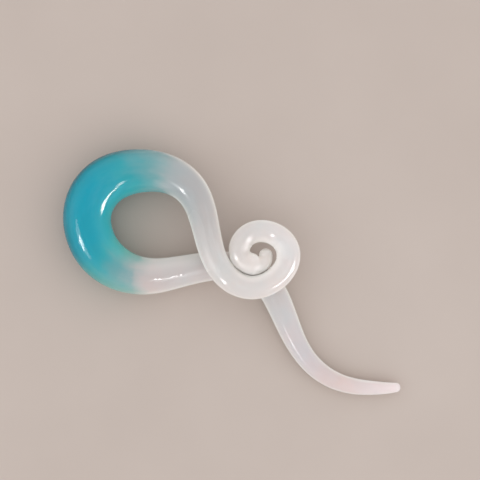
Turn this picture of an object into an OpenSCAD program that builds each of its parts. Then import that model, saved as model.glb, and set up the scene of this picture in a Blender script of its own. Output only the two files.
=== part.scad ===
// Spiral ear taper, lying on a surface: one rod of glass, drawn out thin at its tail,
// bent round through a thick loop, and wound up into a small scroll that lies over
// its own tail. X runs from the loop to the tip of the tail, and Z is up.

/* [Rod] */
// Thickness of the rod at the loop, where a stretched ear lobe sits
gauge = 12; // [9:0.1:12]
// Clearance between the rod beneath and the stem and scroll that lie over it
crossing_gap = 0.4; // [0.2:0.1:2]

/* [Curled end] */
// Distance from the curl's pivot to the middle of the rod, where the curl starts
curl_start = 2.85; // [2.7:0.01:2.9]
// The same distance at the rounded end of the rod
curl_end = 1.62; // [1.5:0.01:1.7]
// Thickness where the curl starts, in percent of twice the distance from the pivot
start_fill = 84; // [70:1:85]
// The same share at the rounded end
end_fill = 90; // [70:1:90]

/* [Surface] */
// Flat sides round the rod
sides = 28; // [12:4:32]
// Rings of the surface from one section of the tables to the next
steps = 5; // [2:1:5]
// Rings in the round of each end
end_rings = 5; // [3:1:8]

/* [Hidden] */

// Columns of the section tables: X and Y place the middle of the rod in millimetres,
// RISE is the height of its underside in percent of the scroll's height, and THICK is
// its thickness in percent of the gauge.
X = 0;
Y = 1;
RISE = 2;
THICK = 3;

// Tail, from its tip to where it goes in under the scroll
tail_rows = [
    [ 46.4,  -9.4,  11,  20],
    [ 41.2, -12.0,   3,  29],
    [ 34.8, -14.2,   0,  35],
    [ 27.7, -14.1,   0,  39],
    [ 20.9, -11.3,   0,  43],
    [ 14.8,  -6.5,   0,  51],
    [  8.9,  -1.6,   0,  56]
];

// Lower limb, under the scroll and the stem to the loop
limb_rows = [
    [  2.6,   1.2,   0,  57],
    [ -3.8,  -0.3,   0,  58],
    [ -9.6,  -3.4,   0,  61],
    [-15.2,  -7.6,   0,  66]
];

// Loop, thickest where it turns back
loop_rows = [
    [-21.1, -11.5,   0,  76],
    [-28.0, -12.9,   0,  87],
    [-34.9, -11.1,   0,  95],
    [-40.1,  -5.9,   0,  98],
    [-41.6,   0.5,   0, 100],
    [-39.4,   6.5,   0,  98],
    [-34.3,  10.8,   5,  90],
    [-28.2,  13.2,  22,  81]
];

// Stem, which climbs from the loop and crosses over the lower limb
stem_rows = [
    [-22.0,  12.9,  46,  71],
    [-17.0,   9.9,  70,  62],
    [-12.8,   5.2,  92,  56],
    [ -8.4,   0.2, 101,  52],
    [ -3.0,  -3.0, 101,  50]
];

// Scroll, round its outer turn and into the inner one
scroll_rows = [
    [  3.0,  -2.7, 100,  48],
    [  7.2,   1.3, 100,  48],
    [  8.4,   6.4, 100,  48],
    [  6.4,  10.2, 100,  48],
    [  2.6,  11.5, 100,  46],
    [ -1.3,  10.5, 100,  45],
    [ -3.6,   7.7, 100,  44],
    [ -3.6,   4.4, 100,  43],
    [ -1.6,   2.6, 100,  42]
];

// Pivot that the end of the rod curls round, the angle where the curl starts, the angle
// that it turns through, and the sections that it is divided into
curl_pivot = [1.4, 5.3];
curl_from = -104;
curl_turn = 138;
curl_sections = 5;

// The curl's distance from its pivot falls with this power of the turn still to go
curl_power = 1.5;

curl_rows = [
    for (i = [0:curl_sections])
        let (
            turned = i / curl_sections,
            angle = curl_from + curl_turn * turned,
            distance = curl_end + (curl_start - curl_end) * pow(1 - turned, curl_power),
            fill = start_fill + (end_fill - start_fill) * turned
        )
        [
            curl_pivot[X] + distance * cos(angle),
            curl_pivot[Y] + distance * sin(angle),
            100,
            2 * distance * fill / gauge
        ]
];

rows = concat(tail_rows, limb_rows, loop_rows, stem_rows, scroll_rows, curl_rows);
last_row = len(rows) - 1;

// Height of the scroll's underside: the thickest rod beneath it, and the gap
limb_share = 58;
scroll_height = gauge * limb_share / 100 + crossing_gap;

// Row n steps beyond the end row a, where the even bend through rows c, b and a leads
function beyond(a, b, c, n) = a + n * (a - b) + n * (n + 1) / 2 * (a - 2 * b + c);

function row(i) =
    i < 0 ? beyond(rows[0], rows[1], rows[2], -i)
    : i > last_row ? beyond(
        rows[last_row], rows[last_row - 1], rows[last_row - 2], i - last_row
    )
    : rows[i];

// Control point i of a smooth cubic spline that passes close to every row
function control(i) = (8 * row(i) - row(i - 1) - row(i + 1)) / 6;

// Section at a place along the table, counted in rows
function section(place) =
    let (
        i = min(floor(place), last_row - 1),
        u = place - i
    )
    (
        pow(1 - u, 3) * control(i - 1)
        + (3 * pow(u, 3) - 6 * pow(u, 2) + 4) * control(i)
        + (-3 * pow(u, 3) + 3 * pow(u, 2) + 3 * u + 1) * control(i + 1)
        + pow(u, 3) * control(i + 2)
    ) / 6;

sections = [for (k = [0:last_row * steps]) section(k / steps)];
last_section = len(sections) - 1;
radii = [for (s = sections) s[THICK] / 100 * gauge / 2];
middles = [
    for (k = [0:last_section])
        [
            sections[k][X],
            sections[k][Y],
            sections[k][RISE] / 100 * scroll_height + radii[k]
        ]
];

function unit(v) = v / norm(v);

// Direction of the rod at section k, from its neighbours
function heading(k) =
    unit(middles[min(k + 1, last_section)] - middles[max(k - 1, 0)]);

// One ring of the surface: points round the middle, square to the heading
function ring(middle, direction, radius) =
    let (
        across = unit(cross([0, 0, 1], direction)),
        upward = cross(direction, across)
    )
    [
        for (j = [0:sides - 1])
            let (angle = 360 * j / sides)
            middle + radius * (cos(angle) * across + sin(angle) * upward)
    ];

// Rings of the round at one end of the rod, where side is -1 at the tail's tip and 1 at
// the curled end
function end_round(k, side) = [
    for (i = [1:end_rings - 1])
        let (angle = side < 0 ? 90 - 90 * i / end_rings : 90 * i / end_rings)
        ring(
            middles[k] + side * radii[k] * sin(angle) * heading(k),
            heading(k),
            radii[k] * cos(angle)
        )
];

rings = concat(
    end_round(0, -1),
    [for (k = [0:last_section]) ring(middles[k], heading(k), radii[k])],
    end_round(last_section, 1)
);
tip = middles[0] - radii[0] * heading(0);
curl_tip = middles[last_section] + radii[last_section] * heading(last_section);
surface_points = concat([for (r = rings) each r], [tip, curl_tip]);

// Middle of the rod's outer box in X and Y, at its lowest point
function lowest(axis) = min([for (p = surface_points) p[axis]]);
function highest(axis) = max([for (p = surface_points) p[axis]]);
box_foot = [(lowest(X) + highest(X)) / 2, (lowest(Y) + highest(Y)) / 2, lowest(2)];

// Number of point j of ring i in surface_points
function point(i, j) = i * sides + j % sides;

ring_count = len(rings);
tip_point = ring_count * sides;
curl_tip_point = tip_point + 1;
surface_faces = concat(
    [
        for (i = [0:ring_count - 2])
            for (j = [0:sides - 1])
                each [
                    [point(i, j), point(i, j + 1), point(i + 1, j + 1)],
                    [point(i, j), point(i + 1, j + 1), point(i + 1, j)]
                ]
    ],
    [for (j = [0:sides - 1]) [tip_point, point(0, j + 1), point(0, j)]],
    [
        for (j = [0:sides - 1])
            [curl_tip_point, point(ring_count - 1, j), point(ring_count - 1, j + 1)]
    ]
);

module spiral_taper() {
    color("paleturquoise")
        translate(-box_foot)
            polyhedron(points = surface_points, faces = surface_faces);
}

spiral_taper();
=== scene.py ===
"""Spiral ear taper in opal glass, lying on a pale floor.

One rod of glass, drawn out thin at its tail, bent round through a thick loop and wound up
into a small scroll over its own tail. The rod's line and thickness come from the same tables
as the solid's, in millimetres. Its surface is worked out here far more finely, and strands
that lie against each other are melted together, as hot glass is.
"""

import math

import bpy
import numpy as np
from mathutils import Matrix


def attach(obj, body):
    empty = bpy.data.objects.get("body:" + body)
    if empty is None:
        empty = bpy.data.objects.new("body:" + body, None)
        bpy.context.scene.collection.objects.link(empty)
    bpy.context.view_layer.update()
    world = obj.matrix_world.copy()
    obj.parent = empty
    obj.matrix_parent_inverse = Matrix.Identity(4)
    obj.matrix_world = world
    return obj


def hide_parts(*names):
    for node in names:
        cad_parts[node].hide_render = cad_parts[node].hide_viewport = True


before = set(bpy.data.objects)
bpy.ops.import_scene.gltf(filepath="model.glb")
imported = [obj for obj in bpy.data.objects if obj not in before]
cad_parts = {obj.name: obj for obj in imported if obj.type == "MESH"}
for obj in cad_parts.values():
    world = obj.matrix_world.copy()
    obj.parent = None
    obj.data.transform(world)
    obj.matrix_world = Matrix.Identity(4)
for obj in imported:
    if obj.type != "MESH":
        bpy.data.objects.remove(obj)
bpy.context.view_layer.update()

MM = 0.001

# The rod's line, in millimetres

# Thickness of the rod at the loop, and the clearance between rods where they cross
GAUGE = 12.0
CROSSING_GAP = 0.4

# The scroll's underside lies over a limb that is this share of the gauge thick
LIMB_SHARE = 0.58
SCROLL_HEIGHT = GAUGE * LIMB_SHARE + CROSSING_GAP

# Columns of the section tables: X and Y of the middle of the rod in millimetres, the height
# of its underside in percent of the scroll's height, and its thickness in percent of GAUGE
X, Y, RISE, THICK = range(4)

TAIL_ROWS = (
    (46.4, -9.4, 11, 20),
    (41.2, -12.0, 3, 29),
    (34.8, -14.2, 0, 35),
    (27.7, -14.1, 0, 39),
    (20.9, -11.3, 0, 43),
    (14.8, -6.5, 0, 51),
    (8.9, -1.6, 0, 56),
)
LIMB_ROWS = (
    (2.6, 1.2, 0, 57),
    (-3.8, -0.3, 0, 58),
    (-9.6, -3.4, 0, 61),
    (-15.2, -7.6, 0, 66),
)
LOOP_ROWS = (
    (-21.1, -11.5, 0, 76),
    (-28.0, -12.9, 0, 87),
    (-34.9, -11.1, 0, 95),
    (-40.1, -5.9, 0, 98),
    (-41.6, 0.5, 0, 100),
    (-39.4, 6.5, 0, 98),
    (-34.3, 10.8, 5, 90),
    (-28.2, 13.2, 22, 81),
)
STEM_ROWS = (
    (-22.0, 12.9, 46, 71),
    (-17.0, 9.9, 70, 62),
    (-12.8, 5.2, 92, 56),
    (-8.4, 0.2, 101, 52),
    (-3.0, -3.0, 101, 50),
)
SCROLL_ROWS = (
    (3.0, -2.7, 100, 48),
    (7.2, 1.3, 100, 48),
    (8.4, 6.4, 100, 48),
    (6.4, 10.2, 100, 48),
    (2.6, 11.5, 100, 46),
    (-1.3, 10.5, 100, 45),
    (-3.6, 7.7, 100, 44),
    (-3.6, 4.4, 100, 43),
    (-1.6, 2.6, 100, 42),
)

# The curled end: its pivot, the angle where it starts and the angle it turns through in
# degrees, and the sections it is divided into
CURL_PIVOT = (1.4, 5.3)
CURL_FROM = -104.0
CURL_TURN = 130.0
CURL_SECTIONS = 5

# Distance from the pivot where the curl starts and at the rounded end, the power it falls
# with, and the share of twice that distance that the rod fills at each, which comes to a
# little over the whole, so that the curled end closes on itself at the pivot
CURL_START, CURL_END = 2.74, 1.60
CURL_POWER = 1.5
START_FILL, END_FILL = 0.96, 1.03

# Corners round the rod, distance from ring to ring, and rings in the round of each end
SIDES = 64
RING_STEP = 0.155
END_RINGS = 16

# Places along the table, per row, at which the line is measured before it is divided evenly
MEASURES = 200

# Two strands are neighbours, not one bend, when the rod between them is longer than this
# many times their radii, and than this many millimetres
STRAND_SHARE = 2.6
STRAND_LEAST = 12.0

# How far apart two strands may lie and still swell towards each other, in millimetres: the
# first up to the first row of the table, at the crossings and between the turns of the
# scroll, and the second from the second row on, at the curled end. Of two strands the one
# that reaches less counts.
REACH_ROWS = (33.4, 34.0)
REACH = (0.70, 0.35)

# Between strands side by side the glass has run in from above: the reach grows by this much
# of itself where a strand's side turns fully upward
RUN_IN = 6.0

# Clearance from the neighbouring strand beyond which it no longer counts
CREASE_FAR = 4.0

# Rounds in which the swelling of the strands settles
MELT_ROUNDS = 8


def curl_rows():
    """Rows on a spiral whose distance from the pivot falls with a power of the turn left."""
    turned = np.arange(CURL_SECTIONS + 1) / CURL_SECTIONS
    angle = np.radians(CURL_FROM + CURL_TURN * turned)
    distance = CURL_END + (CURL_START - CURL_END) * (1 - turned) ** CURL_POWER
    fill = START_FILL + (END_FILL - START_FILL) * turned
    return np.stack(
        [
            CURL_PIVOT[X] + distance * np.cos(angle),
            CURL_PIVOT[Y] + distance * np.sin(angle),
            np.full_like(turned, 100.0),
            100 * 2 * distance * fill / GAUGE,
        ],
        axis=1,
    )


def beyond(a, b, c, n):
    """The row n steps past the end row a, where the even bend through c, b and a leads."""
    return a + n * (a - b) + n * (n + 1) / 2 * (a - 2 * b + c)


def spline(rows, places):
    """Uniform cubic B-spline at places counted in rows.

    Control point i is (8 row(i) - row(i - 1) - row(i + 1)) / 6, so that the curve passes
    close to every row; two rows are worked out past each end.
    """
    start, end = rows[:3], rows[:-4:-1]
    rows = np.concatenate(
        [
            [beyond(*start, 2), beyond(*start, 1)],
            rows,
            [beyond(*end, 1), beyond(*end, 2)],
        ]
    )
    control = (8 * rows[1:-1] - rows[:-2] - rows[2:]) / 6
    first = np.minimum(np.floor(places).astype(int), len(control) - 4)
    u = (places - first)[:, None]
    return (
        (1 - u) ** 3 * control[first]
        + (3 * u**3 - 6 * u**2 + 4) * control[first + 1]
        + (-3 * u**3 + 3 * u**2 + 3 * u + 1) * control[first + 2]
        + u**3 * control[first + 3]
    ) / 6


def middles_and_radii(rows, places):
    """Middle of the rod, whose underside is at RISE, and its radius, at each place."""
    section = spline(rows, places)
    radius = section[:, THICK] / 100 * GAUGE / 2
    rise = section[:, RISE] / 100 * SCROLL_HEIGHT
    return np.stack([section[:, X], section[:, Y], rise + radius], axis=1), radius


def rod_line():
    """Middles, radii, distances from the tail and places in rows, at even steps of length."""
    rows = np.concatenate(
        [TAIL_ROWS, LIMB_ROWS, LOOP_ROWS, STEM_ROWS, SCROLL_ROWS, curl_rows()]
    )
    last = len(rows) - 1
    places = np.linspace(0, last, last * MEASURES + 1)
    middles, _ = middles_and_radii(rows, places)
    steps = np.linalg.norm(np.diff(middles, axis=0), axis=1)
    length = np.concatenate([[0], np.cumsum(steps)])
    wanted = np.linspace(0, length[-1], round(length[-1] / RING_STEP) + 1)
    places = np.interp(wanted, length, places)
    middles, radii = middles_and_radii(rows, places)
    return middles, radii, wanted, places


def unit(vectors):
    """The same vectors, one long."""
    return vectors / np.linalg.norm(vectors, axis=-1, keepdims=True)


def end_round(middle, heading, radius, side):
    """Middles and radii of a half ball's rings, side -1 at the tail and 1 at the curl."""
    angle = np.radians(90) * np.arange(1, END_RINGS) / END_RINGS
    if side < 0:
        angle = angle[::-1]
    middles = middle + side * radius * np.sin(angle)[:, None] * heading
    return middles, radius * np.cos(angle)


def swelling(centre, radius, spoke, along, reach):
    """How far each point stands out towards a neighbouring strand, as rings x sides, and
    how much nearer it is to its own strand than to that one.

    With a its distance from its own strand and b its distance from the nearest other, the
    melted surface of both lies where a = (reach - |a - b|)^2 / (4 reach), while |a - b| is
    less than the reach. The reach grows by RUN_IN times the square of the point's upward
    part, where the two strands lie at one level. The rounds walk half way to that a each
    time and measure b anew. The second result is b - a, which is nothing along the crease
    between two strands at one level.
    """
    least = np.maximum(STRAND_SHARE * (radius[:, None] + radius), STRAND_LEAST)
    facing = np.abs(along[:, None] - along) > least
    gap = np.linalg.norm(centre[:, None] - centre, axis=2) - radius[:, None] - radius
    rings = np.flatnonzero((facing & (gap < CREASE_FAR)).any(axis=1))
    facing = facing[np.ix_(rings, rings)][:, None]
    near_centre, near_radius, near_reach = centre[rings], radius[rings], reach[rings]
    height, upward = near_centre[:, 2], np.maximum(spoke[rings, :, 2], 0)
    out = np.zeros((len(rings), SIDES))
    for _ in range(MELT_ROUNDS):
        from_middle = (near_radius[:, None] + out)[..., None] * spoke[rings]
        points = near_centre[:, None] + from_middle
        square = (points**2).sum(-1)[..., None] + (near_centre**2).sum(-1)
        square = square - 2 * points @ near_centre.T
        other = np.where(facing, np.sqrt(np.maximum(square, 0)) - near_radius, np.inf)
        nearest = other.argmin(axis=2)
        clear = other.min(axis=2) - out
        apart = np.abs(height[:, None] - height[nearest]) / near_radius[:, None]
        level = np.maximum(1 - apart, 0)
        run_in = 1 + RUN_IN * level * upward**2
        both = np.minimum(near_reach[:, None], near_reach[nearest]) * run_in
        left = np.maximum(both - np.abs(clear), 0)
        out = (out + left**2 / (4 * both)) / 2
    swollen = np.zeros((len(centre), SIDES))
    swollen[rings] = out
    crease = np.full((len(centre), SIDES), CREASE_FAR)
    crease[rings] = np.where(level > 0, np.clip(clear, -CREASE_FAR, CREASE_FAR), CREASE_FAR)
    return swollen, crease


def rod_surface():
    """Points of the rod as rings x sides, its two poles, each point's place on the rod, how
    far it is from a crease between two strands, and the number of rings.

    A ring's point at angle a is middle + radius (cos a across + sin a upward), with across
    level and both square to the rod's heading, and the swelling towards a neighbouring
    strand is added to the radius. Its place is the distance from the tail in centimetres,
    cos a and sin a.
    """
    middles, radii, along, places = rod_line()
    heading = unit(np.gradient(middles, axis=0))
    tail_middles, tail_radii = end_round(middles[0], heading[0], radii[0], -1)
    curl_middles, curl_radii = end_round(middles[-1], heading[-1], radii[-1], 1)
    extra = END_RINGS - 1
    centre = np.concatenate([tail_middles, middles, curl_middles])
    radius = np.concatenate([tail_radii, radii, curl_radii])
    reach = np.interp(np.pad(places, extra, mode="edge"), REACH_ROWS, REACH)
    heading = np.concatenate(
        [np.repeat(heading[:1], extra, 0), heading, np.repeat(heading[-1:], extra, 0)]
    )
    along = np.concatenate(
        [
            -np.linalg.norm(tail_middles - middles[0], axis=1),
            along,
            along[-1] + np.linalg.norm(curl_middles - middles[-1], axis=1),
        ]
    )
    across = unit(np.cross([0.0, 0.0, 1.0], heading))
    upward = np.cross(heading, across)
    angle = 2 * np.pi * np.arange(SIDES) / SIDES
    spoke = (
        np.cos(angle)[None, :, None] * across[:, None]
        + np.sin(angle)[None, :, None] * upward[:, None]
    )
    swollen, crease = swelling(centre, radius, spoke, along, reach)
    points = centre[:, None] + (radius[:, None] + swollen)[..., None] * spoke
    poles = np.stack(
        [
            middles[0] - radii[0] * heading[0],
            middles[-1] + radii[-1] * heading[-1],
        ]
    )
    place = np.stack(
        [
            np.repeat(along[:, None] / 10, SIDES, 1),
            np.repeat(np.cos(angle)[None], len(along), 0),
            np.repeat(np.sin(angle)[None], len(along), 0),
        ],
        axis=2,
    )
    pole_place = np.array([[place[0, 0, 0], 0, 0], [place[-1, 0, 0], 0, 0]])
    points = np.concatenate([points.reshape(-1, 3), poles])
    place = np.concatenate([place.reshape(-1, 3), pole_place])
    crease = np.append(crease.ravel(), [crease[0].min(), crease[-1].min()])
    return points, place, crease, len(along)


def rod_faces(rings):
    """Quads between neighbouring rings, and a fan of triangles round each pole."""
    ring = np.arange(rings - 1)[:, None] * SIDES
    side = np.arange(SIDES)
    ahead = (side + 1) % SIDES
    quads = np.stack(
        [ring + side, ring + SIDES + side, ring + SIDES + ahead, ring + ahead], axis=2
    ).reshape(-1, 4)
    last = (rings - 1) * SIDES
    tail_pole = rings * SIDES
    tail_fan = np.stack([np.full(SIDES, tail_pole), side, ahead], axis=1)
    curl_fan = np.stack(
        [np.full(SIDES, tail_pole + 1), last + ahead, last + side], axis=1
    )
    return quads, np.concatenate([tail_fan, curl_fan])


def make_rod():
    """The rod's mesh, in metres, standing where the solid stands."""
    points, place, crease, rings = rod_surface()
    foot = (points.min(0) + points.max(0)) / 2
    foot[2] = points[:, 2].min()
    points = (points - foot) * MM
    quads, fans = rod_faces(rings)
    mesh = bpy.data.meshes.new("glass_rod")
    mesh.from_pydata(points.tolist(), [], quads.tolist() + fans.tolist())
    mesh.shade_smooth()
    stored = mesh.attributes.new("rod_place", "FLOAT_VECTOR", "POINT")
    stored.data.foreach_set("vector", place.astype(np.float32).ravel())
    stored = mesh.attributes.new("rod_crease", "FLOAT", "POINT")
    stored.data.foreach_set("value", crease.astype(np.float32))
    rod = bpy.data.objects.new("glass_rod", mesh)
    bpy.context.collection.objects.link(rod)
    return rod


# Materials


def linear(*srgb):
    """A colour given as 0 to 255 in sRGB, as Blender's linear values with alpha 1."""
    share = np.array(srgb) / 255
    low, high = share / 12.92, ((share + 0.055) / 1.055) ** 2.4
    return (*np.where(share <= 0.04045, low, high).tolist(), 1.0)


class Nodes:
    """A material's node tree, with one short call for each node that is added to it."""

    def __init__(self, name):
        self.material = bpy.data.materials.new(name)
        self.material.use_nodes = True
        self.tree = self.material.node_tree
        self.tree.nodes.clear()

    def add(self, kind, inputs=(), **settings):
        """A node, its settings, and its inputs: each a value or another node's socket."""
        node = self.tree.nodes.new("ShaderNode" + kind)
        for key, value in settings.items():
            setattr(node, key, value)
        for key, value in dict(inputs).items():
            self.feed(node.inputs[key], value)
        return node

    def feed(self, socket, value):
        """Link another node's socket into this one, or set this one to a value."""
        if isinstance(value, bpy.types.NodeSocket):
            self.tree.links.new(value, socket)
        else:
            socket.default_value = value

    def maths(self, operation, *values, clamp=False):
        """The result of one sum, whose values are numbers or sockets."""
        node = self.add("Math", operation=operation, use_clamp=clamp)
        for socket, value in zip(node.inputs, values):
            self.feed(socket, value)
        return node.outputs[0]

    def span(self, value, low, high, to_low=0.0, to_high=1.0):
        """value taken smoothly from low..high to to_low..to_high."""
        inputs = {
            "Value": value,
            "From Min": low,
            "From Max": high,
            "To Min": to_low,
            "To Max": to_high,
        }
        node = self.add("MapRange", inputs, interpolation_type="SMOOTHSTEP")
        return node.outputs["Result"]

    def between(self, value, comes, goes, stays=0.0):
        """1 from the end of comes to the start of goes, 0 before, and stays after."""
        return self.maths("MULTIPLY", self.span(value, *comes), self.span(value, *goes, 1.0, stays))

    def stretch(self, vector, along, around):
        """A place on the rod with its length and its way round scaled each on its own."""
        node = self.add("VectorMath", {0: vector, 1: (along, around, around)}, operation="MULTIPLY")
        return node.outputs["Vector"]

    def noise(self, vector, scale, detail):
        """Smooth noise about 0.5."""
        inputs = {"Vector": vector, "Scale": scale, "Detail": detail}
        return self.add("TexNoise", inputs).outputs["Fac"]

    def ramp(self, value, stops):
        """A colour ramp through stops, each a place and an sRGB colour."""
        node = self.add("ValToRGB", {"Fac": value})
        elements = node.color_ramp.elements
        while len(elements) < len(stops):
            elements.new(0.5)
        for element, (place, colour) in zip(elements, stops):
            element.position = place
            element.color = linear(*colour)
        return node.outputs["Color"]

    def mix(self, share, first, second, blend="MIX"):
        """The first colour with a share of the second, or multiplied by it."""
        node = self.add("Mix", data_type="RGBA", blend_type=blend)
        self.feed(node.inputs[0], share)
        self.feed(node.inputs[6], first)
        self.feed(node.inputs[7], second)
        return node.outputs[2]


# Length of the rod, in centimetres, by which its milky colours are placed
ROD_LENGTH = 20.4

# Milky white of the rod by distance from the tail's tip, in shares of its length
MILK = (
    (0.00, (230, 214, 214)),
    (0.07, (212, 197, 194)),
    (0.12, (206, 197, 198)),
    (0.20, (206, 202, 201)),
    (0.30, (209, 202, 200)),
    (0.37, (202, 193, 191)),
    (0.62, (166, 173, 176)),
    (0.70, (191, 187, 185)),
    (0.75, (210, 205, 202)),
    (0.82, (218, 212, 209)),
    (0.88, (221, 214, 212)),
    (0.93, (210, 204, 201)),
    (1.00, (228, 222, 217)),
)

# The way round the rod is the cosine of the angle from its level side: 1 down the outside of
# the loop, which is the inside of the scroll, 0 on top and beneath, and -1 down the other side.

# Painted light: the milk is painted lighter, to this cream, down both sides of the rod, where
# light comes in level, by this power of the square of the way round. The same cream is the
# painted light in the other marks below.
PAINTED_LIGHT_CREAM = (252, 248, 242)
SIDE_LIGHT_POWER = 4.0

# Teal over the milk, by how thick the coloured glass lies there, and how many times sooner
# it covers the milk than it reaches its own full depth
TEAL = (
    (0.00, (196, 194, 192)),
    (0.20, (162, 179, 180)),
    (0.45, (116, 170, 174)),
    (0.78, (50, 167, 177)),
    (1.00, (16, 162, 181)),
)
TEAL_COVER = 4.0

# Distances from the tail in centimetres over which the teal comes and goes, how far the wisps
# and the clouds in the glass carry both ends of it, and how far it runs on along the inside
# of the bend where it goes
TEAL_COMES = (7.3, 9.5)
TEAL_GOES = (10.7, 13.4)
WISPS_CARRY, CLOUDS_CARRY = 0.7, 0.9
TEAL_INSIDE = 0.15

# The teal deepens down the outside of the bend, and is painted lighter down the inside, a
# painted light where the inside lies in shade: the colour each turns to, the power of the way
# round that this follows, and the largest share
DEEP_TEAL, DEEP_POWER, DEEP_MOST = (0, 90, 106), 3.0, 0.8
TEAL_PAINTED_LIGHT, TEAL_LIGHT_POWER, TEAL_LIGHT_MOST = (80, 200, 202), 2.0, 0.7

# Where the teal starts it is painted lighter and green down both sides of the rod, a painted
# light where the sides lie in shade, most where the teal is half there
GREEN_PAINTED_LIGHT = (165, 225, 198)
GREEN_LIGHT_STRENGTH = 1.5

# Where the teal goes a painted dark reflection lies along the very outside of the bend: the
# distances over which this dark edge comes and goes, the way round over which it comes, and its
# largest share
PAINTED_DARK_REFLECTION = (0, 68, 80)
DARK_COMES, DARK_GOES = (10.0, 10.8), (11.4, 12.2)
DARK_SIDE = (0.74, 0.97)
DARK_MOST = 0.5

# Noise in the glass: clouds all through it, wisps drawn out along it, smudges in its polish
# and the slow ripple that flame leaves. The wisps and the ripple are scaled by the first
# number along the rod and by the second round it.
CLOUDS = {"scale": 130.0, "detail": 3.0}
WISPS = {"scale": 1.7, "detail": 3.0}
SMUDGES = {"scale": 260.0, "detail": 2.0}
RIPPLE = {"scale": 1.8, "detail": 1.0}
WISPS_STRETCH, RIPPLE_STRETCH = (0.45, 0.9), (1.0, 0.5)

# The milk leans to a warm tint in some clouds and to a cool one in others
CLOUD_TINTS = ((0.35, (255, 251, 249)), (0.65, (247, 252, 252)))

# Pale wisps: the noise over which they come, their largest share, and how much of that is
# left where the teal is thickest
WISP = (236, 242, 242)
WISP_COMES = (0.5, 0.8)
WISP_MOST = 0.16
WISP_IN_TEAL = 0.15

# Painted light where the rod faces itself and lies in shade: distances from the tail over which
# the cream comes and goes along the limb, and comes in the scroll, where a share of it stays,
# and at the rod's curled end. With them the way round the rod from where it is strongest on the
# limb to where it ends, and from where it starts in the scroll to where it is strongest, and the
# largest share of each.
LIMB_COMES, LIMB_GOES = (5.8, 6.4), (7.2, 8.2)
LIMB_SIDE = (-1.0, 0.1)
LIMB_MOST = 0.4
SCROLL_COMES, SCROLL_GOES = (15.2, 16.3), (18.3, 19.0)
SCROLL_SIDE = (0.3, 1.0)
SCROLL_MOST, SCROLL_STAYS = 0.6, 0.3
NUB_COMES = (19.3, 19.9)
NUB_MOST = 0.6

# Where two strands touch, a painted shade line, full up to the first clearance in millimetres
# and clear from the second, and a painted light edge on either side of it, with the largest share
# of each
CREASE_SHADE = (118, 110, 108)
CREASE_LINE, CREASE_MOST = (0.10, 0.32), 0.45
CREASE_EDGE, CREASE_EDGE_MOST = (0.4, 1.1), 0.6

# Distances from the tail over which the painted shade line comes and goes on the outer turn, and
# comes on the inner one, where the two have not melted into each other
CREASE_COMES, CREASE_GOES = (15.45, 15.85), (17.8, 18.4)
CREASE_AGAIN = (19.55, 19.72)

# Roughness of the polish, from clean to smudged, the noise over which it changes, and how
# much rougher it is where it dulls
POLISH = (0.055, 0.10)
SMUDGE_COMES = (0.4, 0.75)
DULLER = 0.4

# Distances from the tail over which the polish dulls at the curled end, and patches where
# it dulls: the distances over which each comes and goes, and the way round the rod over
# which it comes. They lie down the stem's outer flank at the crossing, and on the inside of
# the scroll's two turns.
DULL_END = (19.58, 19.66)
DULL_PATCHES = (
    ((13.3, 14.5), (15.15, 15.45), (0.2, -0.4)),
    ((17.4, 17.6), (17.95, 18.1), (-0.2, 0.2)),
    ((19.02, 19.15), (19.6, 19.7), (0.0, 0.3)),
)

# The ripple's strength, its depth in metres, the glass's index of refraction and level of
# reflection, and how far light strays in the milk, in metres
RIPPLE_STRENGTH, RIPPLE_DEPTH = 0.05, 0.0003
GLASS_INDEX, REFLECTION = 1.5, 0.3
STRAY = 0.006


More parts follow.
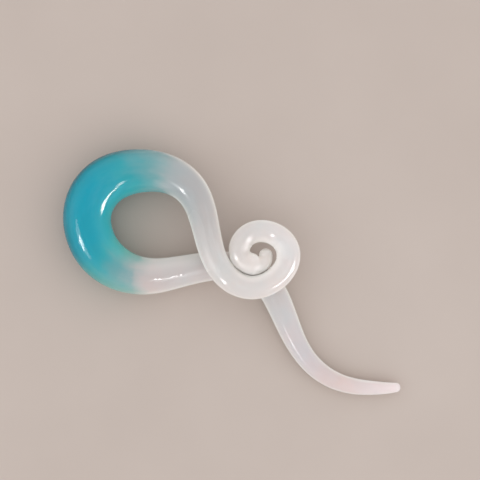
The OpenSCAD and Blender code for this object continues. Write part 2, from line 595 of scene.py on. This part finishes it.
def opal_glass():
    """Milky opal glass with teal drawn into it round the loop, fire polished."""
    n = Nodes("opal_glass")
    place = n.add("Attribute", attribute_name="rod_place").outputs["Vector"]
    split = n.add("SeparateXYZ", {"Vector": place})
    along, side = split.outputs["X"], split.outputs["Y"]
    side_on = n.maths("MULTIPLY", side, side)
    outside = n.maths("MAXIMUM", side, 0.0)
    inside = n.maths("MAXIMUM", n.maths("MULTIPLY", side, -1.0), 0.0)
    solid = n.add("TexCoord").outputs["Object"]
    clouds = n.noise(solid, **CLOUDS)
    wisps = n.noise(n.stretch(place, *WISPS_STRETCH), **WISPS)

    # Teal drawn in along the loop, cloudy where it starts and ends
    drift = n.maths("MULTIPLY", n.maths("SUBTRACT", wisps, 0.5), WISPS_CARRY)
    cloudy = n.maths("MULTIPLY", n.maths("SUBTRACT", clouds, 0.5), CLOUDS_CARRY)
    moved = n.maths("ADD", along, n.maths("ADD", drift, cloudy))
    late = n.maths("MULTIPLY_ADD", side, TEAL_INSIDE, moved)
    comes = n.span(moved, *TEAL_COMES)
    teal = n.maths("MULTIPLY", comes, n.span(late, *TEAL_GOES, 1.0, 0.0))
    milk = n.ramp(n.maths("DIVIDE", along, ROD_LENGTH), MILK)
    # Painted light: cream down both sides of the rod
    milk = n.mix(n.maths("POWER", side_on, SIDE_LIGHT_POWER), milk, linear(*PAINTED_LIGHT_CREAM))
    cover = n.maths("MULTIPLY", teal, TEAL_COVER, clamp=True)
    colour = n.mix(cover, milk, n.ramp(teal, TEAL))
    deep = n.maths("MULTIPLY", n.maths("POWER", outside, DEEP_POWER), DEEP_MOST)
    colour = n.mix(n.maths("MULTIPLY", teal, deep), colour, linear(*DEEP_TEAL))
    # Painted light down the inside of the bend, where the teal lies in shade
    teal_light = n.maths("MULTIPLY", n.maths("POWER", inside, TEAL_LIGHT_POWER), TEAL_LIGHT_MOST)
    colour = n.mix(n.maths("MULTIPLY", teal, teal_light), colour, linear(*TEAL_PAINTED_LIGHT))
    # Painted light down both sides of the rod where the teal starts
    start = n.maths("MULTIPLY", comes, n.maths("SUBTRACT", 1.0, comes))
    green = n.maths("MULTIPLY", n.maths("MULTIPLY", start, side_on), GREEN_LIGHT_STRENGTH)
    colour = n.mix(green, colour, linear(*GREEN_PAINTED_LIGHT))
    # Painted dark reflection along the very outside of the bend where the teal goes
    dark = n.between(along, DARK_COMES, DARK_GOES)
    dark = n.maths("MULTIPLY", dark, n.span(side, *DARK_SIDE, 0.0, DARK_MOST))
    colour = n.mix(dark, colour, linear(*PAINTED_DARK_REFLECTION))

    # Clouds and wisps through the milk
    colour = n.mix(1.0, colour, n.ramp(clouds, CLOUD_TINTS), "MULTIPLY")
    pale = n.span(wisps, *WISP_COMES, 0.0, WISP_MOST)
    pale = n.maths("MULTIPLY", pale, n.span(teal, 0.0, 1.0, 1.0, WISP_IN_TEAL))
    colour = n.mix(pale, colour, linear(*WISP))

    # Painted light where the rod faces itself and lies in shade: along the limb, in the scroll and
    # at its end
    limb = n.between(along, LIMB_COMES, LIMB_GOES)
    limb = n.maths("MULTIPLY", limb, n.span(side, *LIMB_SIDE, LIMB_MOST, 0.0))
    scroll = n.between(along, SCROLL_COMES, SCROLL_GOES, SCROLL_STAYS)
    scroll = n.maths("MULTIPLY", scroll, n.span(side, *SCROLL_SIDE, 0.0, SCROLL_MOST))
    nub = n.maths("MULTIPLY", n.span(along, *NUB_COMES, 0.0, NUB_MOST), side_on)
    painted_light = n.maths("MAXIMUM", n.maths("MAXIMUM", limb, scroll), nub)
    colour = n.mix(painted_light, colour, linear(*PAINTED_LIGHT_CREAM))

    # Painted shade in the crease between strands that touch, and painted light beside it
    crease = n.add("Attribute", attribute_name="rod_crease").outputs["Fac"]
    # Painted light on either side of the crease
    lit = n.span(crease, *CREASE_EDGE, CREASE_EDGE_MOST, 0.0)
    colour = n.mix(lit, colour, linear(*PAINTED_LIGHT_CREAM))
    drawn = n.between(along, CREASE_COMES, CREASE_GOES)
    drawn = n.maths("MAXIMUM", drawn, n.span(along, *CREASE_AGAIN))
    # Painted shade line in the crease
    line = n.maths("MULTIPLY", n.span(crease, *CREASE_LINE, CREASE_MOST, 0.0), drawn)
    colour = n.mix(line, colour, linear(*CREASE_SHADE))

    # Smudged, duller in patches, and rippled
    dull = n.span(along, *DULL_END)
    for dulls, clears, sides in DULL_PATCHES:
        patch = n.maths("MULTIPLY", n.between(along, dulls, clears), n.span(side, *sides))
        dull = n.maths("MAXIMUM", dull, patch)
    smudge = n.noise(solid, **SMUDGES)
    roughness = n.span(smudge, *SMUDGE_COMES, *POLISH)
    roughness = n.maths("MULTIPLY_ADD", dull, DULLER, roughness)
    ripple = n.noise(n.stretch(place, *RIPPLE_STRETCH), **RIPPLE)
    bump = n.add(
        "Bump", {"Strength": RIPPLE_STRENGTH, "Distance": RIPPLE_DEPTH, "Height": ripple}
    )
    shader = n.add(
        "BsdfPrincipled",
        {
            "Base Color": colour,
            "Roughness": roughness,
            "IOR": GLASS_INDEX,
            "Specular IOR Level": REFLECTION,
            "Subsurface Weight": 1.0,
            "Subsurface Radius": (1.0, 1.0, 1.0),
            "Subsurface Scale": STRAY,
            "Normal": bump.outputs["Normal"],
        },
    )
    n.add("OutputMaterial", {"Surface": shader.outputs[0]})
    return n.material


# The floor's two paints, by the noise that mottles them, and its roughness
FLOOR_PAINTS = ((0.3, (190, 176, 166)), (0.7, (194, 180, 170)))
FLOOR_MOTTLE = {"scale": 30.0, "detail": 3.0}
FLOOR_ROUGHNESS = 0.8


def floor_paint():
    """Matt pale paint, with the faintest mottle."""
    n = Nodes("floor_paint")
    mottle = n.noise(n.add("TexCoord").outputs["Object"], **FLOOR_MOTTLE)
    colour = n.ramp(mottle, FLOOR_PAINTS)
    shader = n.add("BsdfPrincipled", {"Base Color": colour, "Roughness": FLOOR_ROUGHNESS})
    n.add("OutputMaterial", {"Surface": shader.outputs[0]})
    return n.material


# Stage

# The picture's upright is turned by this angle from the part's Y
PICTURE_TURN = math.radians(26)

# The camera looks straight down from this height, at this point, at this width of floor, in
# metres, and sees what lies between the two clip distances
CAMERA_HEIGHT = 0.330
CAMERA_POINT = (-0.00441, 0.00661)
PICTURE_WIDTH = 0.120
CLIP_NEAR, CLIP_FAR = 0.01, 10.0

# Half of the floor's side, in metres
FLOOR_HALF = 1.5


def make_floor():
    """A flat square of floor beneath the rod, which belongs to the stage."""
    corners = [
        (x * FLOOR_HALF, y * FLOOR_HALF, 0.0)
        for x, y in ((-1, -1), (1, -1), (1, 1), (-1, 1))
    ]
    mesh = bpy.data.meshes.new("floor")
    mesh.from_pydata(corners, [], [(0, 1, 2, 3)])
    mesh.materials.append(floor_paint())
    floor = bpy.data.objects.new("floor", mesh)
    bpy.context.collection.objects.link(floor)


def make_camera():
    """The camera, from where the photograph was taken."""
    data = bpy.data.cameras.new("camera")
    data.angle = 2 * math.atan(PICTURE_WIDTH / 2 / CAMERA_HEIGHT)
    data.clip_start = CLIP_NEAR
    data.clip_end = CLIP_FAR
    camera = bpy.data.objects.new("camera", data)
    camera.location = (*CAMERA_POINT, CAMERA_HEIGHT)
    camera.rotation_euler = (0.0, 0.0, PICTURE_TURN)
    bpy.context.collection.objects.link(camera)
    bpy.context.scene.camera = camera


# Points that the lamps are turned to, in metres: under the camera, and on the rod itself
MIDDLE = (*CAMERA_POINT, 0.0)
LOOP = (-0.0363, 0.0060, 0.0110)
LIMB = (-0.0150, -0.0087, 0.0080)
TAIL = (0.0203, -0.0118, 0.0053)
LEFT = (-0.0025, 0.0082, 0.0126)
LAST_TURN = (-0.0031, 0.0023, 0.0124)
RIGHT = (0.0096, 0.0041, 0.0128)
LOWER_LEFT = (-0.0039, -0.0040, 0.0132)
TOP = (0.0024, 0.0110, 0.0129)

# Soft boxes: the point each is turned to, the way it lies from there in the picture, in
# degrees from the picture's right, its height above the floor in degrees, its distance,
# width and length in metres, the roll of its length, the angle that its light fans out to,
# and its power in watts. The grids are small boxes close to the rod, each of which lights
# one highlight and nothing else.
AIM, AWAY, HIGH, FAR, WIDE, LONG, ROLL, FAN, POWER = range(9)
LAMPS = {
    "strip": (MIDDLE, -38, 22, 0.40, 0.062, 0.37, 57, 180, 1.6),
    "left_core": (MIDDLE, -157, 41, 0.42, 0.12, 0.07, 115, 180, 0.42),
    "left_halo": (MIDDLE, -158, 42, 0.42, 0.16, 0.22, 90, 180, 0.33),
    "loop_grid": (LOOP, -60.5, 42, 0.12, 0.012, 0.034, 19, 30, 0.0004),
    "limb_grid": (LIMB, -54, 60, 0.12, 0.014, 0.014, 0, 14, 0.00007),
    "tail_grid": (TAIL, -130.5, 43, 0.12, 0.026, 0.022, 0, 16, 0.00030),
    "left_grid": (LEFT, -64, 57.5, 0.05, 0.0045, 0.014, 48, 22, 0.0002),
    "last_grid": (LAST_TURN, -156, 49, 0.12, 0.012, 0.022, -29, 16, 0.0005),
    "right_grid": (RIGHT, -25, 23, 0.12, 0.044, 0.066, 62, 50, 0.0150),
    "lower_grid": (LOWER_LEFT, -127.5, 36.5, 0.12, 0.022, 0.012, 0, 16, 0.0006),
    "top_grid": (TOP, -127.5, 68, 0.12, 0.009, 0.014, 0, 16, 0.0003),
}


def make_lamps():
    """The soft boxes. They show in the polish alone, and the room lights everything else."""
    for name, lamp in LAMPS.items():
        data = bpy.data.lights.new(name, "AREA")
        data.shape = "ELLIPSE"
        data.size = lamp[WIDE]
        data.size_y = lamp[LONG]
        data.spread = math.radians(lamp[FAN])
        data.energy = lamp[POWER]
        away = math.radians(lamp[AWAY]) + PICTURE_TURN
        high = math.radians(lamp[HIGH])
        aim_x, aim_y, aim_z = lamp[AIM]
        light = bpy.data.objects.new(name, data)
        light.location = (
            aim_x + lamp[FAR] * math.cos(high) * math.cos(away),
            aim_y + lamp[FAR] * math.cos(high) * math.sin(away),
            aim_z + lamp[FAR] * math.sin(high),
        )
        light.rotation_euler = (math.radians(90) - high, 0.0, away + math.radians(90))
        light.rotation_euler.rotate_axis("Z", math.radians(lamp[ROLL]))
        light.visible_diffuse = False
        bpy.context.collection.objects.link(light)


# The room's light: its colour, its strength level with the floor and straight above, and the
# heights between which that changes, as the upward part of the way that the light comes
ROOM_COLOUR = (236, 236, 238)
ROOM_LOW, ROOM_HIGH = 1.36, 1.02
ROOM_HEIGHTS = (0.6, 0.95)


def make_world():
    """Even white light from all round, a little weaker from straight above."""
    world = bpy.data.worlds.new("studio")
    world.use_nodes = True
    tree = world.node_tree
    background = tree.nodes["Background"]
    background.inputs["Color"].default_value = linear(*ROOM_COLOUR)
    way = tree.nodes.new("ShaderNodeTexCoord").outputs["Generated"]
    split = tree.nodes.new("ShaderNodeSeparateXYZ")
    strength = tree.nodes.new("ShaderNodeMapRange")
    strength.interpolation_type = "SMOOTHSTEP"
    strength.inputs["From Min"].default_value = ROOM_HEIGHTS[0]
    strength.inputs["From Max"].default_value = ROOM_HEIGHTS[1]
    strength.inputs["To Min"].default_value = ROOM_LOW
    strength.inputs["To Max"].default_value = ROOM_HIGH
    tree.links.new(way, split.inputs[0])
    tree.links.new(split.outputs["Z"], strength.inputs["Value"])
    tree.links.new(strength.outputs["Result"], background.inputs["Strength"])
    bpy.context.scene.world = world


# The scene

make_camera()
make_floor()
make_lamps()
make_world()
bpy.context.scene.view_settings.view_transform = "Standard"

rod = make_rod()
rod.data.materials.append(opal_glass())
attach(rod, "root")
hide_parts("spiral_taper")
